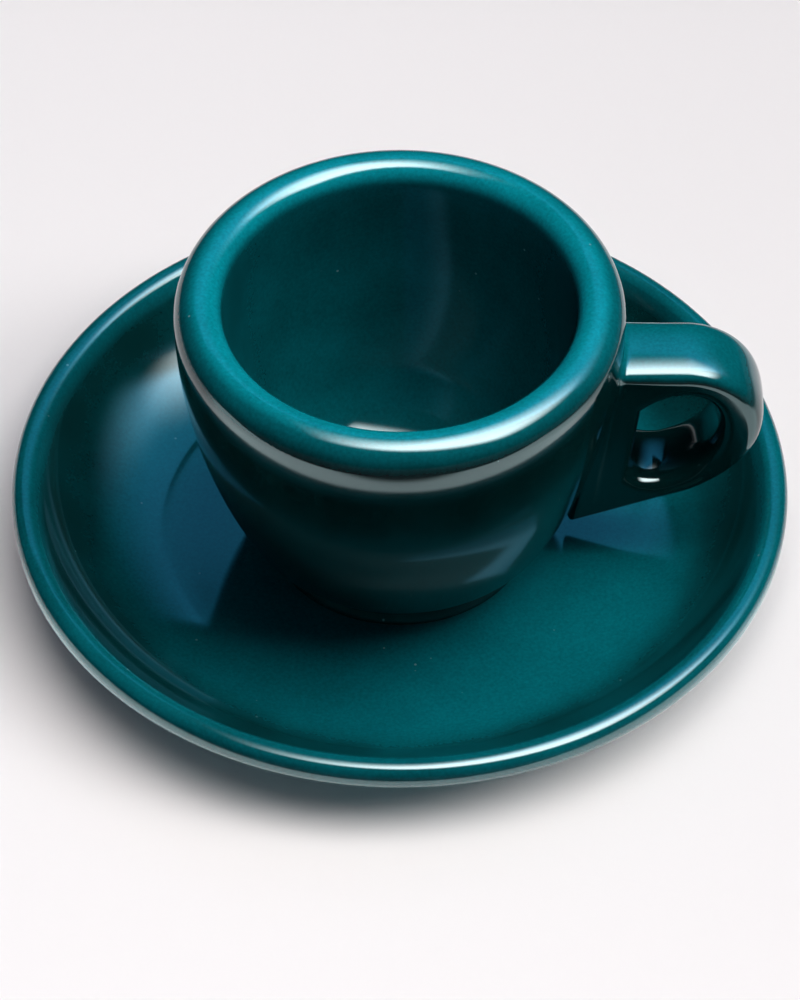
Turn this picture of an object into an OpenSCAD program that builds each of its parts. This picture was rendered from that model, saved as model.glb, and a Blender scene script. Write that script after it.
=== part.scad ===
// Espresso cup with a ring handle, standing on its saucer. Glazed stoneware, millimetres, +Z up.
// The origin is on the table under the middle of the saucer, and the handle points along +X.

/* [Saucer] */
// Diameter over the rim
saucer_d = 120; // [110:1:140]
// Height of the rim's top above the table
saucer_h = 19.6; // [18:0.1:22]
// Thickness of the rounded bead along the rim
saucer_rim_t = 4.2; // [3.8:0.1:4.8]
// Thickness of the wall and the floor
saucer_t = 3.8; // [3.4:0.1:4.2]
// Height of the floor's upper face above the table
saucer_floor_z = 7; // [6.4:0.1:7.6]
// Radius of the hollow curve that leads from the floor up to the rim
saucer_curve_r = 24; // [21:0.5:27]
// Middle diameter of the ring that it stands on
saucer_foot_d = 64; // [56:1:66]
// Width of the ring's flat face
saucer_foot_w = 2.4; // [1.6:0.1:3.2]

/* [Cup] */
// Largest outside diameter, at the lip
cup_d = 67.4; // [63:0.1:72]
// Height from its foot to the top of the lip
cup_h = 51.6; // [48:0.1:56]
// Thickness of the fully rounded lip
lip_t = 7.2; // [6:0.1:8]
// Radius of the outside belly curve, seen from the side
belly_r = 95; // [88:1:110]
// Radius of the inside wall curve, seen from the side
bore_r = 110; // [96:1:130]
// Thickness of the bottom, with the hollow under it
bottom_t = 6.6; // [6:0.1:8]
// Radius of the curve between the inside wall and the bottom
bottom_r = 15; // [11:0.5:16]
// Width of the foot's flat face
cup_foot_w = 3.4; // [2.4:0.1:4]
// Depth of the hollow inside the foot
cup_foot_h = 1.6; // [1:0.1:2]
// Slope that takes the edge off the foot
cup_foot_edge = 0.5; // [0.3:0.1:0.7]

/* [Handle] */
// How far the handle stands out from the cup's side
handle_out = 21.5; // [20:0.1:24]
// Depth of its upper face below the top of the lip
handle_drop = 10.8; // [9.6:0.1:12]
// Width of the strap
handle_w = 12.6; // [11:0.1:14]
// Thickness of the strap at the top of the ring
handle_top_t = 6.1; // [5.4:0.1:6.8]
// Thickness of the strap at the outermost point of the ring
handle_side_t = 7.1; // [6.2:0.1:8]
// Depth of the rounding from the strap's outer and inner faces to its sides
handle_edge = 2.6; // [2:0.1:3]
// Squareness of that rounding: 2 is an ellipse, more is flatter with tighter edges
handle_square = 2.3; // [2.1:0.1:3]
// Outer radius of the upper bend
handle_upper_r = 12.2; // [11.4:0.1:13.2]
// Angle that the upper bend turns through
handle_upper_turn = 119; // [110:1:126]
// Outer radius of the lower bend
handle_lower_r = 20.6; // [19.4:0.1:22]
// Slope of the lower arm, which falls towards the cup
handle_slope = 19.5; // [16:0.5:23]
// Length of the oval finger hole
hole_l = 18.6; // [17:0.1:20]
// Width of the oval finger hole
hole_w = 13; // [12:0.1:14]
// Angle between the hole's length and the table
hole_tilt = 62; // [56:1:68]

/* [Hidden] */
$fn = 96;
glaze_teal = "#0b5f66";

// Saucer: both faces of the wall share the hollow curve's centre, and the bead sits on the wall's middle
saucer_rim_r = max(saucer_rim_t, saucer_t + 0.2) / 2;
saucer_rim_at = [saucer_d / 2 - saucer_rim_r, saucer_h - saucer_rim_r];
saucer_curve_z = saucer_floor_z + saucer_curve_r;
saucer_mid_r = saucer_curve_r + saucer_t / 2;
saucer_curve_x = saucer_rim_at[0] - sqrt(pow(saucer_mid_r, 2) - pow(saucer_curve_z - saucer_rim_at[1], 2));
saucer_turn = acos((saucer_curve_z - saucer_rim_at[1]) / saucer_mid_r);
saucer_under_z = saucer_floor_z - saucer_t;
// The standing ring widens upwards by this much on each side
saucer_foot_flare = 0.8;

// Cup: heights are above its own foot, which rests on the saucer's floor
lip_r = lip_t / 2;
lip_z = cup_h - lip_r;
lip_x = cup_d / 2 - lip_r;
belly_x = cup_d / 2 - belly_r;
bore_x = cup_d / 2 - lip_t - bore_r;
cup_foot_r = belly_x + sqrt(pow(belly_r, 2) - pow(lip_z, 2));
// The inside's bottom curve runs just past the wall's curve, so that the two cross and don't only touch
bottom_past = 0.02;
bottom_swing = bore_r - bottom_r + bottom_past;
bottom_z = bottom_t + bottom_r;
bottom_x = bore_x + sqrt(pow(bottom_swing, 2) - pow(lip_z - bottom_z, 2));
bore_low_z = lip_z - (lip_z - bottom_z) * bore_r / bottom_swing;

// Handle: the outer face is a level upper arm, two bends, and a lower arm that slopes down to the cup
handle_reach = cup_d / 2 + handle_out;
handle_top_z = cup_h - handle_drop;
upper_at = [handle_reach - handle_upper_r, handle_top_z - handle_upper_r];
lower_start = 90 - handle_upper_turn;
lower_end = handle_slope - 90;
lower_step = handle_upper_r - handle_lower_r;
lower_at = upper_at + lower_step * [cos(lower_start), sin(lower_start)];
lower_arm_at = lower_at + handle_lower_r * [cos(lower_end), sin(lower_end)];
// The finger hole lies the strap's thickness inside the outer face, at the top and at the outermost point
hole_half = [hole_l, hole_w] / 2;
hole_span_x = norm([hole_half[0] * cos(hole_tilt), hole_half[1] * sin(hole_tilt)]);
hole_span_z = norm([hole_half[0] * sin(hole_tilt), hole_half[1] * cos(hole_tilt)]);
hole_at = [handle_reach - handle_side_t - hole_span_x, handle_top_z - handle_top_t - hole_span_z];
// The roots start this deep in the wall, and are then cut to the cup's outer face
root_sunk = 4;
// Sections along each stretch of the ring, and points round one section
upper_root_steps = 12;
upper_steps = 16;
lower_steps = 12;
lower_root_steps = 16;
wall_steps = 10;
section_points = 28;

// Outside radius of the cup at a height above its foot
function belly_at(z) = belly_x + sqrt(pow(belly_r, 2) - pow(lip_z - z, 2));

module saucer_section() {
    difference() {
        intersection() {
            translate([saucer_curve_x, saucer_curve_z]) circle(r = saucer_curve_r + saucer_t);
            saucer_wall_sector();
        }
        translate([saucer_curve_x, saucer_curve_z]) circle(r = saucer_curve_r);
    }
    translate(saucer_rim_at) circle(r = saucer_rim_r);
    translate([0, saucer_under_z]) square([saucer_curve_x, saucer_t]);
    saucer_foot_section();
}

// The angle of the wall, from straight down under the curve's centre out to the rim's bead
module saucer_wall_sector() {
    reach = 2 * saucer_mid_r;
    rays = [0, saucer_turn / 2, saucer_turn];
    translate([saucer_curve_x, saucer_curve_z])
        polygon(concat([[0, 0]], [for (a = rays) reach * [sin(a), -cos(a)]]));
}

module saucer_foot_section() {
    inner = (saucer_foot_d - saucer_foot_w) / 2;
    outer = (saucer_foot_d + saucer_foot_w) / 2;
    into = saucer_t / 3;
    polygon([
        [inner, 0],
        [outer, 0],
        [outer + saucer_foot_flare, saucer_under_z],
        [outer + saucer_foot_flare, saucer_under_z + into],
        [inner - saucer_foot_flare, saucer_under_z + into],
        [inner - saucer_foot_flare, saucer_under_z]
    ]);
}

// Everything inside the cup's outer face, up to the middle of the lip
module cup_outline() {
    intersection() {
        translate([belly_x, lip_z]) circle(r = belly_r, $fn = 3 * $fn);
        polygon([
            [0, 0],
            [cup_foot_r - cup_foot_edge, 0],
            [cup_foot_r - cup_foot_edge + lip_z, lip_z],
            [0, lip_z]
        ]);
    }
}

// The room inside the cup, up to the middle of the lip
module cup_room() {
    intersection() {
        translate([bore_x, lip_z]) circle(r = bore_r, $fn = 3 * $fn);
        translate([0, bore_low_z]) square([cup_d, lip_z - bore_low_z]);
    }
    intersection() {
        translate([bottom_x, bottom_z]) circle(r = bottom_r);
        square([cup_d, lip_z]);
    }
    translate([0, bottom_t]) square([bottom_x, bottom_r]);
}

module cup_section() {
    difference() {
        cup_outline();
        cup_room();
        translate([0, -cup_foot_h]) square([cup_foot_r - cup_foot_edge - cup_foot_w, 2 * cup_foot_h]);
    }
    translate([lip_x, lip_z]) circle(r = lip_r);
}

// Height of the lower arm's outer face, and where it meets the wall, found by stepping towards it
function lower_arm_z(x) = lower_arm_at[1] - (lower_arm_at[0] - x) * tan(handle_slope);
function lower_wall(x, steps) = steps == 0 ? x : lower_wall(belly_at(lower_arm_z(x)), steps - 1);
upper_end_x = belly_at(handle_top_z) - root_sunk;
lower_end_x = lower_wall(lower_arm_at[0], 8) - root_sunk;

// The ring's outer face as points [x, z]: from the upper root round to the lower one, and back in the wall
function between(from, to, part) = from + (to - from) * part;
function bend(at, r, angle) = at + r * [cos(angle), sin(angle)];
upper_end = [upper_end_x, handle_top_z];
lower_end_at = [lower_end_x, lower_arm_z(lower_end_x)];
ring_face = concat(
    [for (i = [0 : upper_root_steps - 1])
        between(upper_end, [upper_at[0], handle_top_z], i / upper_root_steps)],
    [for (i = [0 : upper_steps - 1])
        bend(upper_at, handle_upper_r, between(90, lower_start, i / upper_steps))],
    [for (i = [0 : lower_steps - 1])
        bend(lower_at, handle_lower_r, between(lower_start, lower_end, i / lower_steps))],
    [for (i = [0 : lower_root_steps - 1])
        between(lower_arm_at, lower_end_at, i / lower_root_steps)],
    [for (i = [0 : wall_steps - 1])
        between(lower_end_at, upper_end, i / wall_steps)]
);

// Distance from the hole's middle to its edge, in a given direction
function hole_r(angle) =
    1 / norm([cos(angle - hole_tilt) / hole_half[0], sin(angle - hole_tilt) / hole_half[1]]);

// One coordinate of the rounded section, from -1 to 1
function rounded(c) = sign(c) * pow(abs(c), 2 / handle_square);

// A point of the section that runs from the hole's edge out to point p of the outer face. It has a rounding
// at each end and straight sides between them.
function section_point(p, a) =
    let (
        out = p - hole_at,
        far = norm(out),
        near = hole_r(atan2(out[1], out[0])),
        edge = min(handle_edge, (far - near) / 2),
        r = (cos(a) > 0 ? far - edge : near + edge) + edge * rounded(cos(a)),
        at = hole_at + out / far * r
    ) [at[0], handle_w / 2 * rounded(sin(a)), at[1]];

// The ring, swept right round the finger hole
module ring() {
    n = section_points;
    rows = len(ring_face);
    polyhedron(
        points = [for (p = ring_face, i = [0 : n - 1]) section_point(p, 360 * (i + 0.5) / n)],
        faces = [
            for (k = [0 : rows - 1], i = [0 : n - 1])
                let (
                    a = k * n + i,
                    b = k * n + (i + 1) % n,
                    c = (k + 1) % rows * n + i,
                    d = (k + 1) % rows * n + (i + 1) % n
                )
                    each [[a, c, b], [b, c, d]]
        ]
    );
}

module saucer() {
    color(glaze_teal)
        rotate_extrude() saucer_section();
}

module cup_body() {
    color(glaze_teal)
        translate([0, 0, saucer_floor_z])
            rotate_extrude() cup_section();
}

module handle() {
    color(glaze_teal)
        translate([0, 0, saucer_floor_z])
            difference() {
                ring();
                rotate_extrude() cup_outline();
            }
}

saucer();
cup_body();
handle();
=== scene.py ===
from math import acos, asin, cos, degrees, exp, hypot, pi, radians, sin, sqrt, tan

import bpy
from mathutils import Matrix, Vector
from mathutils.kdtree import KDTree


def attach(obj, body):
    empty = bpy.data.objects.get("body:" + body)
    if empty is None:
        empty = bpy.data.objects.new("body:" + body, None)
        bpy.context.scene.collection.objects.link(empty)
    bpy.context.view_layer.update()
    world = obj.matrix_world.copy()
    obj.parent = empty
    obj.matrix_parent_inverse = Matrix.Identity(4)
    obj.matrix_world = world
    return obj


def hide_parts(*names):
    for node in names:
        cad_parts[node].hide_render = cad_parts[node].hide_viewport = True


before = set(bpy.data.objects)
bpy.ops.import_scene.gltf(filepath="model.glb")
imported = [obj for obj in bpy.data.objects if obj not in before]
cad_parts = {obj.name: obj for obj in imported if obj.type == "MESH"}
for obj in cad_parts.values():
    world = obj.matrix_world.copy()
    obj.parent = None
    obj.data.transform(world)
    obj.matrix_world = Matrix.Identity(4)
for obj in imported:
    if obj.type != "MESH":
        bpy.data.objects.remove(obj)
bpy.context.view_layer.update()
mm = 0.001
print("frame loaded:", sorted(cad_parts))


def deselectAll():
    if bpy.context.mode != "OBJECT":
        bpy.ops.object.mode_set(mode="OBJECT")
    bpy.ops.object.select_all(action="DESELECT")


def arc(x, z, r, fromDeg, toDeg, steps):
    return [(x + r * cos(radians(fromDeg + (toDeg - fromDeg) * i / steps)),
             z + r * sin(radians(fromDeg + (toDeg - fromDeg) * i / steps))) for i in range(steps + 1)]


# an arc that keeps its width and height but fills its corners; square 2 is a plain arc
def fullArc(x, z, r, square, fromDeg, toDeg, steps):
    points = []
    for px, pz in arc(0, 0, 1, fromDeg, toDeg, steps):
        points.append((x + r * (1 if px > 0 else -1) * abs(px) ** (2 / square),
                       z + r * (1 if pz > 0 else -1) * abs(pz) ** (2 / square)))
    return points


def line(a, b, steps):
    return [(a[0] + (b[0] - a[0]) * i / steps, a[1] + (b[1] - a[1]) * i / steps) for i in range(steps + 1)]


# runs of points put end to end, without doubles where they meet
def joined(*runs):
    points = []
    for run in runs:
        for p in run:
            if not points or hypot(p[0] - points[-1][0], p[1] - points[-1][1]) > 1e-4:
                points.append(p)
    return points


# a plane is merged to one vertex, which is drawn out along the outline and spun round the axis
def turnOnWheel(name, outline, thin, steps):
    deselectAll()
    bpy.ops.mesh.primitive_plane_add(size=mm)
    piece = bpy.context.active_object
    piece.name = name
    piece.data.name = name
    bpy.ops.object.mode_set(mode="EDIT")
    bpy.ops.mesh.select_all(action="SELECT")
    bpy.ops.mesh.merge(type="CENTER")
    here = outline[0]
    bpy.ops.transform.translate(value=(here[0] * mm, 0, here[1] * mm))
    for there in outline[1:]:
        step = ((there[0] - here[0]) * mm, 0, (there[1] - here[1]) * mm)
        bpy.ops.mesh.extrude_vertices_move(TRANSFORM_OT_translate={"value": step})
        here = there
    bpy.ops.mesh.select_all(action="SELECT")
    bpy.ops.mesh.spin(steps=steps, angle=2 * pi, center=(0, 0, 0), axis=(0, 0, 1))
    bpy.ops.mesh.select_all(action="SELECT")
    bpy.ops.mesh.remove_doubles(threshold=0.002 * mm)   # closes the seam and the poles
    bpy.ops.mesh.normals_make_consistent(inside=False)
    bpy.ops.object.mode_set(mode="OBJECT")
    bpy.ops.object.shade_smooth()
    nearest = KDTree(len(outline))
    for i, (x, z) in enumerate(outline):
        nearest.insert((x, 0, z), i)
    nearest.balance()
    mark = piece.data.attributes.new("glazeAndPaintedLight", "FLOAT", "POINT")
    for v in piece.data.vertices:
        at = nearest.find((hypot(v.co.x, v.co.y) / mm, 0, v.co.z / mm))[1]
        mark.data[v.index].value = thin[at]
    return piece


# sizes in millimetres; rim bead, lip, feet, cup floor and handle edges differ a little from the solids
saucer = {
    "rimD": 120.0, "rimTop": 19.6, "wallT": 3.8, "floorZ": 7.0, "curveR": 24.0,
    "beadT": 4.2, "beadUpper": 2.2, "beadLower": 3.0,   # thickness, and how full its corners are
    "wallShortDeg": 3.5, "beadOverDeg": 10.0,           # how wall and bead run into each other
    "footD": 64.0, "footW": 2.4, "footFlare": 0.8, "footRound": 0.5, "footFillet": 1.1, "filletDeg": 75.0,
    "spinSteps": 160,
}


def saucerOutline(s):
    bead = s["beadT"] / 2
    beadX, beadZ = s["rimD"] / 2 - bead, s["rimTop"] - bead
    curveZ = s["floorZ"] + s["curveR"]
    middle = s["curveR"] + s["wallT"] / 2
    curveX = beadX - sqrt(middle ** 2 - (curveZ - beadZ) ** 2)
    turn = degrees(acos((curveZ - beadZ) / middle))
    under = s["floorZ"] - s["wallT"]
    footIn, footOut = (s["footD"] - s["footW"]) / 2, (s["footD"] + s["footW"]) / 2
    r, f, flare = s["footRound"], s["footFillet"], s["footFlare"]
    wallEnd = turn - s["wallShortDeg"]
    over = s["beadOverDeg"]
    return joined(
        line((0, s["floorZ"]), (curveX, s["floorZ"]), 14),
        arc(curveX, curveZ, s["curveR"], -90, -90 + wallEnd, 30),
        arc(beadX, beadZ, bead, 90 + turn - over, 90, 12),
        fullArc(beadX, beadZ, bead, s["beadUpper"], 90, 0, 16),
        fullArc(beadX, beadZ, bead, s["beadLower"], 0, -90 + turn + over, 12),
        arc(curveX, curveZ, s["curveR"] + s["wallT"], -90 + wallEnd, -90, 30),
        line((curveX, under), (footOut + flare + f, under), 2),
        arc(footOut + flare + f, under - f, f, 90, 90 + s["filletDeg"], 6),
        arc(footOut - r, r, r, 0, -90, 5),
        line((footOut - r, 0), (footIn + r, 0), 2),
        arc(footIn + r, r, r, -90, -180, 5),
        arc(footIn - flare - f, under - f, f, 90 - s["filletDeg"], 90, 6),
        line((footIn - flare - f, under), (0, under), 6),
    )


cup = {
    "lipD": 67.4, "height": 51.6, "lipT": 7.2, "lipOuterR": 4.1,   # the lip is a little fuller outside
    "bellyR": 95.0, "boreR": 110.0, "bottomT": 4.2, "bottomR": 15.0, "meetDeg": 2.0,
    "turnZ": 8.5, "turnR": 5.0, "neckIn": 1.2, "neckZ": 3.2, "neckFillet": 0.8,   # belly turning under
    "footW": 3.4, "footHollow": 1.6, "footEdge": 0.5, "footRound": 0.8,
    "standsAt": 7.0, "spinSteps": 160,
}


def cupWall(c):
    lipZ = c["height"] - c["lipT"] / 2
    bellyX = c["lipD"] / 2 - c["bellyR"]
    return lipZ, bellyX


def bellyAt(z):
    lipZ, bellyX = cupWall(cup)
    return bellyX + sqrt(cup["bellyR"] ** 2 - (lipZ - z) ** 2)


def cupOutline(c):
    lipZ, bellyX = cupWall(c)
    outerR, innerR = c["lipOuterR"], c["lipT"] - c["lipOuterR"]
    crown = c["lipD"] / 2 - outerR
    boreX = c["lipD"] / 2 - c["lipT"] - c["boreR"]
    swing = c["boreR"] - c["bottomR"]
    bottomZ = c["bottomT"] + c["bottomR"]
    bottomX = boreX + sqrt(swing ** 2 - (lipZ - bottomZ) ** 2)
    meet = -degrees(asin((lipZ - bottomZ) / swing))
    turn = asin((lipZ - c["turnZ"]) / c["bellyR"])
    turnX = bellyAt(c["turnZ"]) - c["turnR"] * cos(turn)
    turnZ = c["turnZ"] + c["turnR"] * sin(turn)
    under = turnZ - c["turnR"]
    footR = bellyAt(0)
    edge, foot, hollow = c["footEdge"], c["footRound"], c["footHollow"]
    flatIn = footR - edge - c["footW"]
    neck, soft = footR - c["neckIn"], c["neckFillet"]
    gap = c["meetDeg"]   # left out where the lip meets the walls, so that the outline never folds back
    points = joined(
        line((0, hollow), (flatIn - edge, hollow), 4),
        arc(flatIn - edge, hollow - edge, edge, 90, 0, 5),
        arc(flatIn + edge, edge, edge, 180, 270, 5),
        line((flatIn + edge, 0), (footR - foot, 0), 3),
        arc(footR - foot, foot, foot, -90, 0, 6),
        line((footR, foot), (neck, c["neckZ"]), 4),
        line((neck, c["neckZ"]), (neck, under - soft), 2),
        arc(neck + soft, under - soft, soft, 180, 90, 6),
        arc(turnX, turnZ, c["turnR"], -90, -degrees(turn), 14),
        arc(bellyX, lipZ, c["bellyR"], -degrees(turn), -gap / 2, 44),
        arc(crown, c["height"] - outerR, outerR, gap, 90, 26),
        arc(crown, c["height"] - innerR, innerR, 90, 180 - gap, 22),
        arc(boreX, lipZ, c["boreR"], 0, meet, 30),
        arc(bottomX, bottomZ, c["bottomR"], meet, -90, 24),
        line((bottomX, c["bottomT"]), (0, c["bottomT"]), 5),
    )
    return [(x, z + c["standsAt"]) for x, z in points]


# value read off a list of stops
def between(stops, at):
    for (a, low), (b, high) in zip(stops, stops[1:]):
        if at <= b:
            return low + (high - low) * max(0.0, at - a) / (b - a)
    return stops[-1][1]


# how thin the glaze lies, 0 deep and 1 nearly bare, with painted light and shade in the same value: on the
# saucer by the slope in degrees, darker in the steep hollow below the rim; on the cup by the depth below the
# top, breaking over the lip, darker again inside, and dark over the belly as painted shade; on the handle
# painted light where its outer face looks up and painted shade on its sides and in the finger hole
glazeRuns = {
    "saucerSteep": ((0, 0.4), (14, 0.4), (21, 0.3), (30, 0.16), (45, 0.08), (90, 0.08)),
    "saucerRim": ((16.5, 0.0), (18.2, 1.0)), "saucerBead": 0.36, "saucerUnder": 0.14,
    # the lowest values, over the belly, are painted shade; the high ones at the top are the glaze breaking
    # over the lip
    "lipOutside": ((0, 0.86), (0.3, 0.62), (0.65, 0.42), (1.2, 0.32), (2.5, 0.17), (3.6, 0.07), (5.5, 0.02)),
    "lipInside": ((0, 0.86), (0.65, 1.0), (1.5, 0.8), (2.5, 0.5), (3.6, 0.32), (6, 0.25), (9, 0.23),
                  (30, 0.26)),
    # painted light and shade on the handle: lighter the more its outer face looks up
    "handlePaintedLight": ((0.2, 0.03), (0.6, 0.22), (0.9, 0.38), (1.0, 0.52)),
}


def topOf(outline):
    return max(range(len(outline)), key=lambda i: outline[i][1])


def saucerThin(outline):
    top = topOf(outline)
    values = []
    for i, (x, z) in enumerate(outline):
        (ax, az), (bx, bz) = outline[max(0, i - 1)], outline[min(len(outline) - 1, i + 1)]
        steep = degrees(acos(max(-1, min(1, (bx - ax) / hypot(bx - ax, bz - az)))))
        hollow = between(glazeRuns["saucerSteep"], steep) if i < top else glazeRuns["saucerUnder"]
        rim = between(glazeRuns["saucerRim"], z)
        values.append(hollow * (1 - rim) + glazeRuns["saucerBead"] * rim)
    return values


def cupGlazeAndPaintedShade(outline):
    top = topOf(outline)
    return [between(glazeRuns["lipOutside" if i < top else "lipInside"], outline[top][1] - z)
            for i, (x, z) in enumerate(outline)]


saucerLine = saucerOutline(saucer)
saucerPiece = turnOnWheel("saucerDish", saucerLine, saucerThin(saucerLine), saucer["spinSteps"])
cupLine = cupOutline(cup)
cupPiece = turnOnWheel("cupBowl", cupLine, cupGlazeAndPaintedShade(cupLine), cup["spinSteps"])
print("saucer and cup turned:", len(saucerPiece.data.polygons), len(cupPiece.data.polygons))

handle = {
    "reach": 55.2, "topZ": 40.8, "width": 12.6, "topT": 6.1, "sideT": 7.1, "edge": 2.6, "square": 2.7,
    "upperR": 12.2, "upperTurn": 119.0, "lowerR": 20.6, "slope": 19.5,
    "holeL": 18.6, "holeW": 13.0, "holeTilt": 62.0,
    "fillet": 1.2, "sunk": 4.0, "tenon": 0.8, "tenonMore": 0.4, "tenonEase": 1.6,   # how it meets the cup
    "stations": 420, "crowding": 3.0, "crowdingOver": 2.5, "pathSteps": 200,
    "roundPoints": 31, "sidePoints": 12,
}


def outsideWall(p):
    return hypot(p.x, p.y) - bellyAt(p.z)


# the ring's outer face: level upper arm, two bends, the lower arm, and back up inside the wall
def outerFace(h):
    upperX, upperZ = h["reach"] - h["upperR"], h["topZ"] - h["upperR"]
    turnEnd, armEnd = 90 - h["upperTurn"], h["slope"] - 90
    shift = h["upperR"] - h["lowerR"]
    lowerX, lowerZ = upperX + shift * cos(radians(turnEnd)), upperZ + shift * sin(radians(turnEnd))
    armX, armZ = lowerX + h["lowerR"] * cos(radians(armEnd)), lowerZ + h["lowerR"] * sin(radians(armEnd))
    fall = tan(radians(h["slope"]))
    wallX = armX
    for i in range(8):   # closes in on where the lower arm reaches the belly
        wallX = bellyAt(armZ - (armX - wallX) * fall)
    wallX -= h["sunk"]
    top = (bellyAt(h["topZ"]) - h["sunk"], h["topZ"])
    foot = (wallX, armZ - (armX - wallX) * fall)
    steps = h["pathSteps"]
    path = joined(
        line(top, (upperX, h["topZ"]), steps),
        arc(upperX, upperZ, h["upperR"], 90, turnEnd, steps),
        arc(lowerX, lowerZ, h["lowerR"], turnEnd, armEnd, steps),
        line((armX, armZ), foot, steps),
        line(foot, top, steps),
    )
    # stations stand closer together where the ring meets the wall
    run = [0.0]
    for a, b in zip(path, path[1:]):
        clear = outsideWall(Vector((b[0], 0, b[1])))
        crowd = 1 + h["crowding"] * exp(-(clear / h["crowdingOver"]) ** 2)
        run.append(run[-1] + hypot(b[0] - a[0], b[1] - a[1]) * crowd)
    stations, k = [], 0
    for i in range(h["stations"]):
        want = run[-1] * i / h["stations"]
        while run[k + 1] < want:
            k += 1
        t = (want - run[k]) / (run[k + 1] - run[k])
        stations.append((path[k][0] + (path[k + 1][0] - path[k][0]) * t,
                         path[k][1] + (path[k + 1][1] - path[k][1]) * t))
    return stations


# one section, from the oval finger hole out to the outer face, rounded at both ends
def ringSection(h, hole, p):
    tilt = radians(h["holeTilt"])
    out = Vector((p[0] - hole[0], p[1] - hole[1]))
    far = out.length
    out /= far
    along = out.x * cos(tilt) + out.y * sin(tilt)
    across = out.y * cos(tilt) - out.x * sin(tilt)
    near = 1 / hypot(2 * along / h["holeL"], 2 * across / h["holeW"])
    edge = min(h["edge"], (far - near) / 2)
    soft = 2 / h["square"]
    ends, sides = h["roundPoints"], h["sidePoints"]

    def rounded(c):
        return (1 if c > 0 else -1) * abs(c) ** soft

    outline = []
    for i in range(ends):
        a = -pi / 2 + pi * i / (ends - 1)
        outline.append((far - edge + edge * rounded(cos(a)), rounded(sin(a))))
    outline += [(far - edge + (near + 2 * edge - far) * i / (sides + 1), 1.0) for i in range(1, sides + 1)]
    for i in range(ends):
        a = pi / 2 + pi * i / (ends - 1)
        outline.append((near + edge + edge * rounded(cos(a)), rounded(sin(a))))
    outline += [(near + edge + (far - 2 * edge - near) * i / (sides + 1), -1.0) for i in range(1, sides + 1)]
    return [Vector((hole[0] + out.x * r, h["width"] / 2 * y, hole[1] + out.y * r)) for r, y in outline]


def ringRows(h):
    tilt, a, b = radians(h["holeTilt"]), h["holeL"] / 2, h["holeW"] / 2
    spanX, spanZ = hypot(a * cos(tilt), b * sin(tilt)), hypot(a * sin(tilt), b * cos(tilt))
    hole = (h["reach"] - h["sideT"] - spanX, h["topZ"] - h["topT"] - spanZ)
    return [ringSection(h, hole, p) for p in outerFace(h)]


# near the cup each point slides out over the wall, which makes the fillet, and what would
# lie deep in the wall is pressed up to a short tenon
def meetWall(h, p, normal):
    clear = outsideWall(p)
    if clear < h["fillet"]:
        step = 0.05
        slope = (bellyAt(p.z + step) - bellyAt(p.z - step)) / (2 * step)
        wall = (Vector((p.x, p.y, 0)).normalized() - Vector((0, 0, slope))).normalized()
        away = normal - wall * normal.dot(wall)
        part = 1 - max(0.0, clear) / h["fillet"]
        lift = h["fillet"] * (1 - sqrt(max(0.0, 1 - part * part)))
        p = p + away.normalized() * lift * min(1, 2 * away.length)
        if clear < 0:
            deep = -clear
            if clear <= -h["tenon"]:
                deep = h["tenon"] + h["tenonMore"] * (1 - exp((clear + h["tenon"]) / h["tenonEase"]))
            k = (bellyAt(p.z) - deep) / hypot(p.x, p.y)
            p = Vector((p.x * k, p.y * k, p.z))
    return p


# a torus, of any size, whose rings are then laid one by one along the handle; the operator stops at
# 256 rings, so the stations after that are left out and a straight band closes the ring
def layRing(name, h):
    rows = ringRows(h)
    n, count = len(rows[0]), len(rows)
    deselectAll()
    bpy.ops.mesh.primitive_torus_add(major_segments=count, minor_segments=n,
                                     major_radius=0.02, minor_radius=0.005)
    piece = bpy.context.active_object
    piece.name = name
    piece.data.name = name
    mark = piece.data.attributes.new("glazeAndPaintedLight", "FLOAT", "POINT")
    for v in piece.data.vertices:
        i, k = divmod(v.index, n)
        here = rows[i][k]
        u = rows[(i + 1) % count][k] - rows[i - 1][k]
        w = rows[i][(k + 1) % n] - rows[i][k - 1]
        normal = u.cross(w).normalized()
        if normal.dot(here - (rows[i][0] + rows[i][n // 2]) / 2) < 0:
            normal.negate()
        place = meetWall(h, here, normal)
        v.co = Vector((place.x, place.y, place.z + cup["standsAt"])) * mm
        upward = normal.z if k < h["roundPoints"] else 0
        mark.data[v.index].value = between(glazeRuns["handlePaintedLight"], upward)   # painted light on the upper face, painted shade on the sides and in the finger hole
    bpy.ops.object.mode_set(mode="EDIT")
    bpy.ops.mesh.select_all(action="SELECT")
    bpy.ops.mesh.normals_make_consistent(inside=False)
    bpy.ops.object.mode_set(mode="OBJECT")
    bpy.ops.object.shade_smooth()
    return piece


handlePiece = layRing("ringHandle", handle)
print("handle laid:", len(handlePiece.data.polygons))

for piece, node, body in ((saucerPiece, "saucer", "saucer"), (cupPiece, "cup_body", "cup"),
                          (handlePiece, "handle", "cup")):
    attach(piece, body)
    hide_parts(node)


def newNode(tree, kind, **sets):
    node = tree.nodes.new("ShaderNode" + kind)
    for key, value in sets.items():
        setattr(node, key, value)
    return node


def mathNode(tree, operation, a, b=None):
    node = newNode(tree, "Math", operation=operation)
    for socket, value in zip(node.inputs, (a, b)):
        if value is None:
            continue
        if isinstance(value, (int, float)):
            socket.default_value = value
        else:
            tree.links.new(value, socket)
    return node.outputs[0]


# a soft step from 0 to 1 between two values
def softStep(tree, value, low, high):
    node = newNode(tree, "MapRange", interpolation_type="SMOOTHSTEP")
    tree.links.new(value, node.inputs["Value"])
    node.inputs["From Min"].default_value = low
    node.inputs["From Max"].default_value = high
    return node.outputs["Result"]


# a colour is either a link or three plain numbers
def mixColours(tree, part, a, b):
    node = newNode(tree, "Mix", data_type="RGBA")
    for place, value in ((0, part), (6, a), (7, b)):   # the node's factor and its two colours
        if isinstance(value, tuple):
            node.inputs[place].default_value = (*value, 1)
        else:
            tree.links.new(value, node.inputs[place])
    return node.outputs[2]


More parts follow.
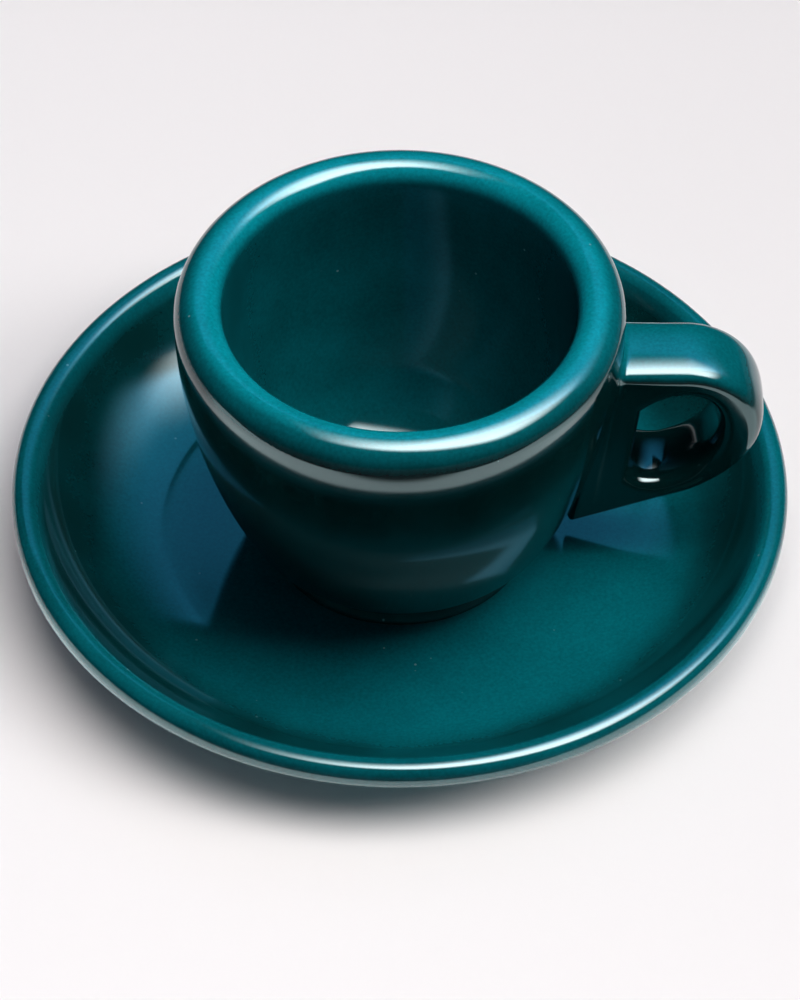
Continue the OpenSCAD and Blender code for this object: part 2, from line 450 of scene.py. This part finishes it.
def noiseOf(tree, coordinates, scale, detail, rough=0.5):
    node = newNode(tree, "TexNoise")
    node.inputs["Scale"].default_value = scale
    node.inputs["Detail"].default_value = detail
    node.inputs["Roughness"].default_value = rough
    tree.links.new(coordinates, node.inputs["Vector"])
    return node.outputs["Fac"]


# patterns in the glaze, by their scale per metre, their detail and how strongly they show
skinLook = {
    "clouds": (70, 3), "grain": (1900, 2), "ripples": (160, 1),
    "grainShare": 1.6, "toneShare": 2.2, "roughShare": 0.04,
    "bodyFrom": (0.0, 0.4), "thinFrom": (0.35, 1.0),   # thinness over which one colour passes into the next
    "speckCells": 420, "speckSize": (0.11, 0.05), "speckFew": (0.9, 0.94),
}


# teal glaze: deep where it gathers and where shade is painted, lighter over edges and where light is
# painted, with clouds, grain and a few specks
def glazeGroup(look):
    g = bpy.data.node_groups.new("glazeSkin", "ShaderNodeTree")
    for name, kind in (("ThinnessAndPaintedLight", "Float"), ("Deep", "Color"), ("Body", "Color"), ("Thin", "Color"),
                       ("Speck", "Color"), ("Mottle", "Float"), ("Specks", "Float"), ("Rough", "Float")):
        g.interface.new_socket(name, in_out="INPUT", socket_type="NodeSocket" + kind)
    for name, kind in (("Colour", "Color"), ("Roughness", "Float"), ("Height", "Float")):
        g.interface.new_socket(name, in_out="OUTPUT", socket_type="NodeSocket" + kind)
    given = g.nodes.new("NodeGroupInput").outputs
    result = g.nodes.new("NodeGroupOutput").inputs
    where = newNode(g, "TexCoord").outputs["Object"]
    cloud = mathNode(g, "SUBTRACT", noiseOf(g, where, *look["clouds"]), 0.5)
    grain = mathNode(g, "SUBTRACT", noiseOf(g, where, *look["grain"]), 0.5)
    thin = mathNode(g, "ADD", given["ThinnessAndPaintedLight"], mathNode(g, "MULTIPLY", cloud, given["Mottle"]))
    colour = mixColours(g, softStep(g, thin, *look["bodyFrom"]), given["Deep"], given["Body"])
    colour = mixColours(g, softStep(g, thin, *look["thinFrom"]), colour, given["Thin"])
    cells = newNode(g, "TexVoronoi")
    cells.inputs["Scale"].default_value = look["speckCells"]
    g.links.new(where, cells.inputs["Vector"])
    chosen = newNode(g, "SeparateColor")
    g.links.new(cells.outputs["Color"], chosen.inputs[0])
    dot = mathNode(g, "MULTIPLY", softStep(g, cells.outputs["Distance"], *look["speckSize"]),
                   softStep(g, chosen.outputs[0], *look["speckFew"]))
    colour = mixColours(g, mathNode(g, "MULTIPLY", dot, given["Specks"]), colour, given["Speck"])
    uneven = mathNode(g, "ADD", cloud, mathNode(g, "MULTIPLY", grain, look["grainShare"]))
    strength = mathNode(g, "MULTIPLY", given["Mottle"], look["toneShare"])
    toned = newNode(g, "VectorMath", operation="SCALE")   # clouds and grain in the colour itself
    g.links.new(colour, toned.inputs[0])
    g.links.new(mathNode(g, "ADD", mathNode(g, "MULTIPLY", uneven, strength), 1.0), toned.inputs["Scale"])
    g.links.new(toned.outputs["Vector"], result["Colour"])
    dull = mathNode(g, "MULTIPLY", cloud, look["roughShare"])
    g.links.new(mathNode(g, "ADD", given["Rough"], dull), result["Roughness"])
    g.links.new(noiseOf(g, where, *look["ripples"]), result["Height"])
    return g


def newMaterial(name):
    material = bpy.data.materials.new(name)
    material.use_nodes = True
    return material, material.node_tree, material.node_tree.nodes["Principled BSDF"]


def bumpInto(tree, shader, height, strength, depth):
    bump = newNode(tree, "Bump")
    bump.inputs["Strength"].default_value = strength
    bump.inputs["Distance"].default_value = depth * mm
    tree.links.new(height, bump.inputs["Height"])
    tree.links.new(bump.outputs["Normal"], shader.inputs["Normal"])


# deep and thin are the glaze's own colours, and also serve as painted shade on the belly, the handle's sides
# and finger hole, and as painted light on the handle's upper face
glaze = {
    "deep": (0.0008, 0.02, 0.0198), "body": (0.001, 0.1, 0.118), "thin": (0.0015, 0.22, 0.265),
    "speck": (0.35, 0.5, 0.5), "specks": 0.3, "mottle": 0.2,
    "rough": 0.08, "ior": 1.65, "sheen": (0.82, 0.98, 1.0), "ripple": 0.008, "rippleDepth": 0.4,
}


def glazeMaterial(name, look, skin):
    material, tree, shader = newMaterial(name)
    group = newNode(tree, "Group")
    group.node_tree = skin
    thin = newNode(tree, "Attribute", attribute_name="glazeAndPaintedLight")
    tree.links.new(thin.outputs["Fac"], group.inputs["ThinnessAndPaintedLight"])
    for key in ("deep", "body", "thin", "speck"):
        group.inputs[key.capitalize()].default_value = (*look[key], 1)
    for key in ("mottle", "specks", "rough"):
        group.inputs[key.capitalize()].default_value = look[key]
    tree.links.new(group.outputs["Colour"], shader.inputs["Base Color"])
    tree.links.new(group.outputs["Roughness"], shader.inputs["Roughness"])
    bumpInto(tree, shader, group.outputs["Height"], look["ripple"], look["rippleDepth"])
    shader.inputs["IOR"].default_value = look["ior"]
    shader.inputs["Specular Tint"].default_value = (*look["sheen"], 1)
    return material


clay = {
    "dark": (0.22, 0.15, 0.1), "light": (0.5, 0.4, 0.3), "rough": 0.85,
    "grit": 1500, "gritDetail": 4, "gritRough": 0.7, "bump": 0.3, "bumpDepth": 0.2,
    "wipedTo": 0.35,   # the feet are wiped clean up to here, so that they don't stick in the kiln
}


def clayMaterial(name, look):
    material, tree, shader = newMaterial(name)
    where = newNode(tree, "TexCoord").outputs["Object"]
    grit = noiseOf(tree, where, look["grit"], look["gritDetail"], look["gritRough"])
    ramp = newNode(tree, "ValToRGB")
    ramp.color_ramp.elements[0].color = (*look["dark"], 1)
    ramp.color_ramp.elements[1].color = (*look["light"], 1)
    tree.links.new(grit, ramp.inputs["Fac"])
    tree.links.new(ramp.outputs["Color"], shader.inputs["Base Color"])
    shader.inputs["Roughness"].default_value = look["rough"]
    bumpInto(tree, shader, grit, look["bump"], look["bumpDepth"])
    return material


tealGlaze = glazeMaterial("tealGlaze", glaze, glazeGroup(skinLook))
bareClay = clayMaterial("bareClay", clay)
for piece in (saucerPiece, cupPiece, handlePiece):
    piece.data.materials.append(tealGlaze)
for piece, standsAt in ((saucerPiece, 0), (cupPiece, cup["standsAt"])):
    piece.data.materials.append(bareClay)
    for face in piece.data.polygons:
        if face.center.z < (standsAt + clay["wipedTo"]) * mm:
            face.material_index = 1
print("glazed")

# sizes from here on in metres; each edge has its place and its softness
tableLook = {
    "size": 4, "colour": (0.89, 0.88, 0.88), "nearLamp": (0.78, 0.77, 0.77), "nearLampFrom": (-0.1, 0.14),
    "rough": 0.5, "specular": 0.1, "beyond": (0.06, 0.06, 0.06),
    "glossyGlow": (0.65, 0.95, 0.97), "glossyGlowFrom": (0.01, -0.03),
    "front": (-0.083, 0.006), "back": (0.3, 0.1), "left": (-0.35, 0.1), "right": (0.16, 0.03),
}


# pale to the camera; what bounces light on to the cup is a pale board with dim table past its edges
def tableMaterial(name, look):
    material, tree, shader = newMaterial(name)
    shader.inputs["Roughness"].default_value = look["rough"]
    shader.inputs["Specular IOR Level"].default_value = look["specular"]
    place = newNode(tree, "SeparateXYZ")
    tree.links.new(newNode(tree, "TexCoord").outputs["Object"], place.inputs[0])
    x, y = place.outputs[0], place.outputs[1]
    board = None
    for axis, edge, inward in ((y, "front", 1), (y, "back", -1), (x, "left", 1), (x, "right", -1)):
        at, soft = look[edge]
        side = softStep(tree, axis, at - inward * soft, at + inward * soft)
        board = side if board is None else mathNode(tree, "MULTIPLY", board, side)
    paths = newNode(tree, "LightPath").outputs
    glossyGlow = mathNode(tree, "MULTIPLY", mathNode(tree, "MULTIPLY", board, paths["Is Glossy Ray"]),
                     softStep(tree, y, *look["glossyGlowFrom"]))
    shader.inputs["Emission Color"].default_value = (*look["glossyGlow"], 1)
    tree.links.new(glossyGlow, shader.inputs["Emission Strength"])   # painted reflection: its front glows, tinted cyan, for reflected rays only, so it shows brightly in the glaze
    seen = mathNode(tree, "MAXIMUM", board, paths["Is Camera Ray"])
    # darker towards the lamp, which stands to the right, so that the table renders even
    tone = mixColours(tree, softStep(tree, x, *look["nearLampFrom"]), look["colour"], look["nearLamp"])
    tree.links.new(mixColours(tree, seen, look["beyond"], tone), shader.inputs["Base Color"])
    return material


deselectAll()
bpy.ops.mesh.primitive_plane_add(size=tableLook["size"])
table = bpy.context.active_object
table.name = "table"
table.data.materials.append(tableMaterial("paleTable", tableLook))


# a lamp with soft edges, so that its reflection fades out on the glaze; "again" is how much
# of it is left in a reflection of a reflection
def softLamp(name, look):
    deselectAll()
    bpy.ops.object.light_add(type="AREA", location=look["place"], rotation=(0, 0, radians(look["turnDeg"])))
    lamp = bpy.context.active_object
    lamp.name = name
    lamp.data.shape = "RECTANGLE"
    lamp.data.size, lamp.data.size_y = look["size"]
    lamp.data.energy = look["watts"]
    lamp.data.color = look["colour"]
    lamp.data.use_nodes = True
    tree = lamp.data.node_tree
    spot = newNode(tree, "SeparateXYZ")
    tree.links.new(newNode(tree, "NewGeometry").outputs["Parametric"], spot.inputs[0])
    fade = None
    for across, (low, high) in zip(spot.outputs, look["edges"]):
        for side in (softStep(tree, across, 0.0, low), softStep(tree, across, 1.0, 1.0 - high)):
            fade = side if fade is None else mathNode(tree, "MULTIPLY", fade, side)
    depth = newNode(tree, "LightPath").outputs["Ray Depth"]   # more than 2 in a reflection of a reflection
    first = mathNode(tree, "LESS_THAN", depth, 2.5)
    seen = mathNode(tree, "ADD", mathNode(tree, "MULTIPLY", first, 1 - look["again"]), look["again"])
    tree.links.new(mathNode(tree, "MULTIPLY", fade, seen), tree.nodes["Emission"].inputs["Strength"])
    return lamp


def lights(lamp, receivers):
    group = bpy.data.collections.new(lamp.name + "Lights")
    for thing in receivers:
        group.objects.link(thing)
    lamp.light_linking.receiver_collection = group


# one lamp for the table and its shadow, one for the pieces, and one that shows only in reflections
tableLamp = softLamp("tableLamp", {
    "place": (0.98, -0.62, 1.6), "turnDeg": 0, "size": (2.75, 1.2), "watts": 109,
    "colour": (1, 0.965, 0.95), "edges": ((0.1, 0.2), (0.4, 0.4)), "again": 1,
})
tableLamp.visible_glossy = False
lights(tableLamp, [table])
pieceLamp = softLamp("pieceLamp", {
    "place": (0.62, 0.03, 1.0), "turnDeg": -15, "size": (1.45, 0.9), "watts": 36,
    "colour": (1, 1, 1), "edges": ((0.2, 0.4), (0.2, 0.4)), "again": 1,
})
pieceLamp.visible_glossy = False
lights(pieceLamp, [saucerPiece, cupPiece, handlePiece])
sheenLamp = softLamp("sheenLamp", {
    "place": (0.38, 0.02, 0.9), "turnDeg": -19, "size": (1.35, 1.0), "watts": 72,
    "colour": (1, 1, 1), "edges": ((0.3, 0.4), (0.25, 0.72)), "again": 0.03,
})
sheenLamp.visible_diffuse = False

# angles from straight behind the cup, to the right, and up from the table
window = {
    "leftDeg": (-29, -24), "rightDeg": (84, 72), "lowDeg": 24, "highDeg": 48.5, "edgeDeg": 0.5,
    "brightOver": 1.5,   # it grows brighter upwards, up to this far over its top edge
    "rise": 3.0, "riseFrom": 4,   # the top edge climbs towards the right
    "colour": (0.11, 0.88, 1.6), "pale": (1.5, 3.2, 4.2), "paleDeg": (20, 75),
    "share": 0.1,   # the window lights less than it shows in the glaze
    "room": (0.002, 0.002, 0.003), "fill": (0.086, 0.074, 0.096), "paper": (0.92, 0.92, 0.92),
}


# a blue window behind, dim low down, paler to the right, with a dark room round it and paper to the camera
def windowWorld(name, look):
    world = bpy.data.worlds.new(name)
    world.use_nodes = True
    tree = world.node_tree
    way = newNode(tree, "SeparateXYZ")
    tree.links.new(newNode(tree, "TexCoord").outputs["Generated"], way.inputs[0])
    turn = mathNode(tree, "MULTIPLY", mathNode(tree, "ARCTAN2", way.outputs[0], way.outputs[1]), 180 / pi)
    up = mathNode(tree, "MULTIPLY", mathNode(tree, "ARCSINE", way.outputs[2]), 180 / pi)
    aside = mathNode(tree, "MAXIMUM", mathNode(tree, "SUBTRACT", turn, look["riseFrom"]), 0.0)
    topEdge = mathNode(tree, "SUBTRACT", up, mathNode(tree, "MULTIPLY", aside, look["rise"]))
    height = newNode(tree, "MapRange")
    tree.links.new(up, height.inputs["Value"])
    height.inputs["From Min"].default_value = look["lowDeg"]
    height.inputs["From Max"].default_value = look["highDeg"] + look["brightOver"]
    pane = mathNode(tree, "POWER", height.outputs["Result"], 2.0)
    high, soft = look["highDeg"], look["edgeDeg"]
    for side in (softStep(tree, topEdge, high + soft, high - soft), softStep(tree, turn, *look["leftDeg"]),
                 softStep(tree, turn, *look["rightDeg"])):
        pane = mathNode(tree, "MULTIPLY", pane, side)
    pale = mathNode(tree, "POWER", softStep(tree, turn, *look["paleDeg"]), 2.0)
    tint = newNode(tree, "VectorMath", operation="MULTIPLY_ADD")
    tree.links.new(pale, tint.inputs[0])
    tint.inputs[1].default_value = look["pale"]
    tint.inputs[2].default_value = look["colour"]
    rays = newNode(tree, "LightPath").outputs
    share = newNode(tree, "MapRange")
    tree.links.new(rays["Is Glossy Ray"], share.inputs["Value"])
    share.inputs["To Min"].default_value = look["share"]
    sky = newNode(tree, "VectorMath", operation="SCALE")
    tree.links.new(tint.outputs["Vector"], sky.inputs[0])
    tree.links.new(mathNode(tree, "MULTIPLY", pane, share.outputs["Result"]), sky.inputs["Scale"])
    glow = newNode(tree, "VectorMath", operation="ADD")
    tree.links.new(sky.outputs["Vector"], glow.inputs[0])
    tree.links.new(mixColours(tree, rays["Is Glossy Ray"], look["fill"], look["room"]), glow.inputs[1])
    shown = mixColours(tree, rays["Is Camera Ray"], glow.outputs["Vector"], look["paper"])
    tree.links.new(shown, tree.nodes["Background"].inputs["Color"])
    return world


bpy.context.scene.world = windowWorld("studio", window)

view = {"place": (0.000031, -0.4748, 0.5284), "downDeg": 47.326, "lens": 162.0, "sensor": 36, "clip": 0.01}
bpy.ops.object.camera_add(location=view["place"], rotation=(radians(90 - view["downDeg"]), 0, 0))
camera = bpy.context.active_object
camera.name = "photoView"
camera.data.lens = view["lens"]
camera.data.sensor_width = view["sensor"]
camera.data.clip_start = view["clip"]
bpy.context.scene.camera = camera
bpy.context.scene.view_settings.view_transform = "Standard"
print("table, light and camera set")
